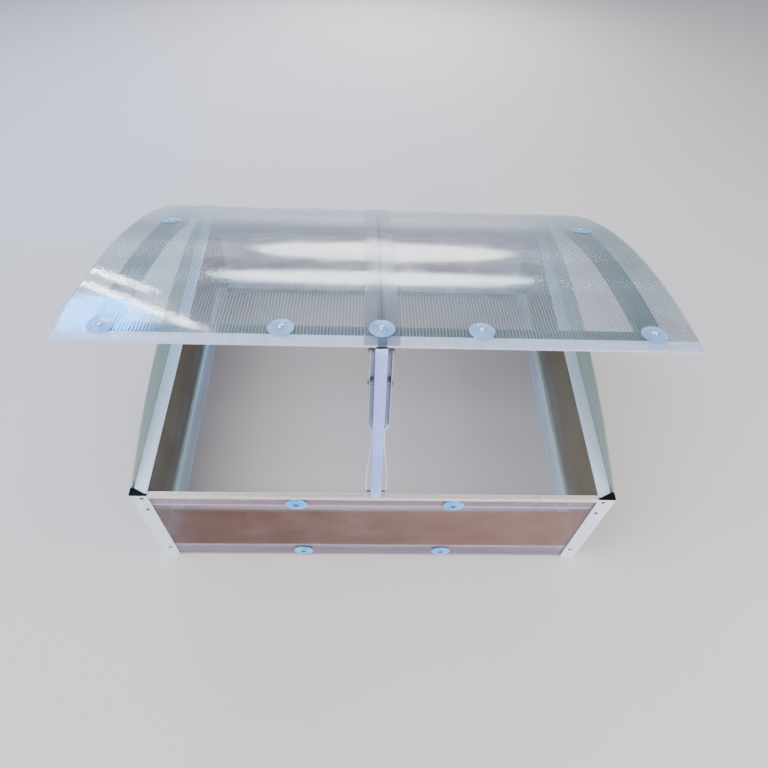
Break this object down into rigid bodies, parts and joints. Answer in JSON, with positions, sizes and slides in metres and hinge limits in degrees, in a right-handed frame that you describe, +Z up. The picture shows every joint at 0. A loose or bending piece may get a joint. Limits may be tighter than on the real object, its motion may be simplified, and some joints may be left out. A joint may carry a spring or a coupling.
{
  "type": "cold frame",
  "caption": "Low garden cold frame: clear twin-wall walls in angle-rail framing, arched clear roof hinged at the back, and a folding stay that props the front edge open.",
  "frame": {"origin": "on the ground under the middle of the bounding box, with the roof propped open", "axes": "+Z up, the stay and the low front edge face -Y, the hinges are at +Y, +X to the right seen from the front"},
  "size_m": [1.08, 0.9264, 0.6964],
  "materials": {
    "clear_sheet": "clear twin-wall sheet, fine flutes, glossy",
    "clear_joiner": "clear extruded joining profile, slightly grey",
    "coated_angle": "white coated aluminium angle, satin",
    "mill_aluminium": "mill finish, faint drawing lines",
    "black_plastic": "moulded, satin",
    "milky_washer": "translucent milky moulding with a steel screw",
    "zinc_steel": "zinc plated"
  },
  "bodies": {
    "base": {"back_bottom_rail": "coated_angle", "back_edge_trim": "coated_angle", "back_left_cap": "black_plastic", "back_left_post": "coated_angle", "back_right_cap": "black_plastic", "back_right_post": "coated_angle", "back_sheet": "clear_sheet", "back_top_rail": "coated_angle", "front_bottom_rail": "coated_angle", "front_edge_trim": "coated_angle", "front_left_cap": "black_plastic", "front_left_post": "coated_angle", "front_right_cap": "black_plastic", "front_right_post": "coated_angle", "front_sheet": "clear_sheet", "front_top_rail": "coated_angle", "hinge_left_pin": "zinc_steel", "hinge_left_wall_leaf": "zinc_steel", "hinge_right_pin": "zinc_steel", "hinge_right_wall_leaf": "zinc_steel", "left_bottom_rail": "coated_angle", "left_sheet": "clear_sheet", "left_top_rail": "coated_angle", "right_bottom_rail": "coated_angle", "right_sheet": "clear_sheet", "right_top_rail": "coated_angle", "stay_seat": "mill_aluminium", "wall_washer_lower_left": "milky_washer", "wall_washer_lower_right": "milky_washer", "wall_washer_upper_left": "milky_washer", "wall_washer_upper_right": "milky_washer"},
    "roof": {"hinge_left_roof_leaf": "zinc_steel", "hinge_right_roof_leaf": "zinc_steel", "roof_back_rail": "mill_aluminium", "roof_centre_rib": "mill_aluminium", "roof_front_rail": "mill_aluminium", "roof_joiner": "clear_joiner", "roof_sheet_left": "clear_sheet", "roof_sheet_right": "clear_sheet", "roof_side_rib_left": "mill_aluminium", "roof_side_rib_right": "mill_aluminium", "roof_washer_front_centre": "milky_washer", "roof_washer_front_left": "milky_washer", "roof_washer_front_mid_left": "milky_washer", "roof_washer_front_mid_right": "milky_washer", "roof_washer_front_right": "milky_washer", "roof_washer_side_left": "milky_washer", "roof_washer_side_right": "milky_washer", "stay_bracket": "mill_aluminium"},
    "stay": {"stay_channel": "coated_angle", "stay_channel_bolt": "zinc_steel", "stay_cross_pin": "zinc_steel", "stay_pivot_bolt": "zinc_steel", "stay_strap_left": "coated_angle", "stay_strap_right": "coated_angle", "stay_tube": "mill_aluminium"}
  },
  "joints": [
    {"name": "roof_hinge", "type": "hinge", "parent": "base", "child": "roof", "pos_m": [0, 0.44475, 0.30981], "axis": [-1, 0, 0], "range_deg": [-24.5, 0]},
    {"name": "stay_fold", "type": "hinge", "parent": "roof", "child": "stay", "pos_m": [0, -0.36404, 0.66871], "axis": [-1, 0, 0], "range_deg": [-84, 0]}
  ],
  "couplings": [
    {"joint": "stay_fold", "follows": "roof_hinge", "ratio": 3.4163}
  ]
}
